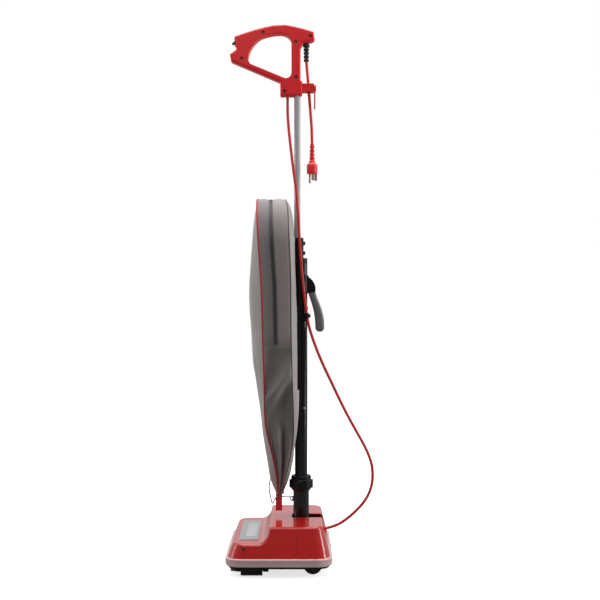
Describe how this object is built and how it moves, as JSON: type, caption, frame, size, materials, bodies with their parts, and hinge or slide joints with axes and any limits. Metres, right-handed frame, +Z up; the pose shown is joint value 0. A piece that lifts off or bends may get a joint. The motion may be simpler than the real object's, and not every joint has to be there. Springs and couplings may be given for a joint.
{
  "type": "upright vacuum cleaner",
  "caption": "Upright vacuum cleaner with a low motorised base, a leaning tube handle with a D grip, a zipped cloth bag in front of the tube and cord hooks.",
  "frame": {"origin": "on the floor, under the middle of the base's bumper", "axes": "+Z up, -X the front of the base, +X the user's side, +Y the machine's right side"},
  "size_m": [0.3252, 0.31, 1.2174],
  "materials": {
    "red_gloss": "glossy moulded plastic",
    "black_plastic": "satin moulded plastic",
    "black_gloss": "glossy",
    "vinyl_bumper": "soft cloudy vinyl",
    "silver_tube": "satin",
    "steel": "bright",
    "iron": "plain",
    "copper": "enamelled winding",
    "carbon": "carbon block",
    "rubber": "matte",
    "belt_rubber": "matte",
    "bristle": "nylon bristle",
    "wheel_grey": "matte",
    "grey_plastic": "moulded",
    "label_silver": "satin",
    "bag_cloth": "plain woven cloth",
    "paper": "filter paper",
    "red_webbing": "woven strap",
    "red_cord": "flexible cord jacket",
    "zip_metal": "dark",
    "prong_metal": "bright"
  },
  "bodies": {
    "base": {"upper_housing": "red_gloss", "bumper": "vinyl_bumper", "lower_pan": "black_plastic", "base_plate": "steel", "name_plate": "label_silver", "housing_screws": "steel", "fan_housing": "black_plastic", "fan_cover": "black_plastic", "motor_frame": "steel", "motor_field": "iron", "motor_bearings": "steel", "carbon_brushes": "carbon", "motor_mounts": "rubber", "brush_end_cap_left": "black_plastic", "brush_end_cap_right": "black_plastic", "drive_belt": "belt_rubber", "wheel_axles": "steel", "pivot_bracket": "steel", "handle_detent": "steel", "edge_brush_left": "bristle", "edge_brush_right": "bristle", "cord_grommet": "rubber"},
    "rotor": {"motor_shaft": "steel", "armature": "copper", "fan_impeller": "grey_plastic", "motor_pulley": "steel"},
    "brush_roll": {"brush_roller": "black_plastic", "brush_bristles": "bristle"},
    "wheel_rear_left": {"rear_wheel_left": "wheel_grey"},
    "wheel_rear_right": {"rear_wheel_right": "wheel_grey"},
    "roller_front_left": {"front_roller_left": "wheel_grey"},
    "roller_front_right": {"front_roller_right": "wheel_grey"},
    "clip_left": {"plate_clip_left": "black_plastic"},
    "clip_right": {"plate_clip_right": "black_plastic"},
    "handle": {"pivot_socket": "black_gloss", "lower_tube": "black_gloss", "upper_tube": "silver_tube", "tube_coupling": "black_plastic", "coupling_bolts": "black_plastic", "handle_shell_left": "red_gloss", "handle_shell_right": "red_gloss", "handle_screws": "steel", "switch_bezel": "black_plastic", "switch_body": "black_plastic", "strain_relief": "rubber", "lower_hook_mount": "black_plastic", "lower_cord_hook": "black_gloss", "cord_clip": "black_plastic", "outer_bag": "bag_cloth", "paper_bag": "paper", "bag_tail_strap": "red_webbing", "power_cord": "red_cord", "motor_cord": "red_cord", "motor_cord_loop": "red_cord", "plug_body": "red_cord", "plug_prongs": "prong_metal"},
    "collar": {"lock_collar": "black_plastic"},
    "switch": {"switch_lever": "black_gloss"},
    "upper_hook": {"upper_cord_hook": "red_gloss"},
    "zip": {"zipper_slider": "zip_metal"}
  },
  "joints": [
    {"name": "handle_recline", "type": "hinge", "parent": "base", "child": "handle", "pos_m": [0.048, 0, 0.062], "axis": [0, 1, 0], "range_deg": [0, 80], "deforming": ["motor_cord_loop"]},
    {"name": "motor_spin", "type": "hinge", "parent": "base", "child": "rotor", "pos_m": [0.015, 0, 0.06], "axis": [0, 1, 0], "continuous": true},
    {"name": "brush_spin", "type": "hinge", "parent": "base", "child": "brush_roll", "pos_m": [-0.072, 0, 0.0255], "axis": [0, 1, 0], "continuous": true},
    {"name": "rear_wheel_left_spin", "type": "hinge", "parent": "base", "child": "wheel_rear_left", "pos_m": [0.073, -0.109, 0.02], "axis": [0, 1, 0], "continuous": true},
    {"name": "rear_wheel_right_spin", "type": "hinge", "parent": "base", "child": "wheel_rear_right", "pos_m": [0.073, 0.109, 0.02], "axis": [0, 1, 0], "continuous": true},
    {"name": "front_roller_left_spin", "type": "hinge", "parent": "base", "child": "roller_front_left", "pos_m": [-0.028, -0.06, 0.009], "axis": [0, 1, 0], "continuous": true},
    {"name": "front_roller_right_spin", "type": "hinge", "parent": "base", "child": "roller_front_right", "pos_m": [-0.028, 0.06, 0.009], "axis": [0, 1, 0], "continuous": true},
    {"name": "plate_clip_left_turn", "type": "hinge", "parent": "base", "child": "clip_left", "pos_m": [-0.032, -0.1, 0.008], "axis": [0, 0, 1], "range_deg": [0, 90]},
    {"name": "plate_clip_right_turn", "type": "hinge", "parent": "base", "child": "clip_right", "pos_m": [-0.032, 0.1, 0.008], "axis": [0, 0, 1], "range_deg": [-90, 0]},
    {"name": "collar_twist", "type": "hinge", "parent": "handle", "child": "collar", "pos_m": [0.048, 0, 0.17], "axis": [0, 0, 1], "range_deg": [0, 45]},
    {"name": "switch_toggle", "type": "hinge", "parent": "handle", "child": "switch", "pos_m": [-0.0975, 0, 1.1815], "axis": [0, 1, 0], "range_deg": [0, 24]},
    {"name": "upper_hook_swivel", "type": "hinge", "parent": "handle", "child": "upper_hook", "pos_m": [0.0785, 0, 1.0745], "axis": [1, 0, 0], "range_deg": [0, 180]},
    {"name": "zipper_slide", "type": "slide", "parent": "handle", "child": "zip", "axis": [-0.0394, 0, 0.9992], "range_m": [0, 0.17]}
  ],
  "couplings": [
    {"joint": "brush_spin", "follows": "motor_spin", "ratio": 0.5652}
  ]
}
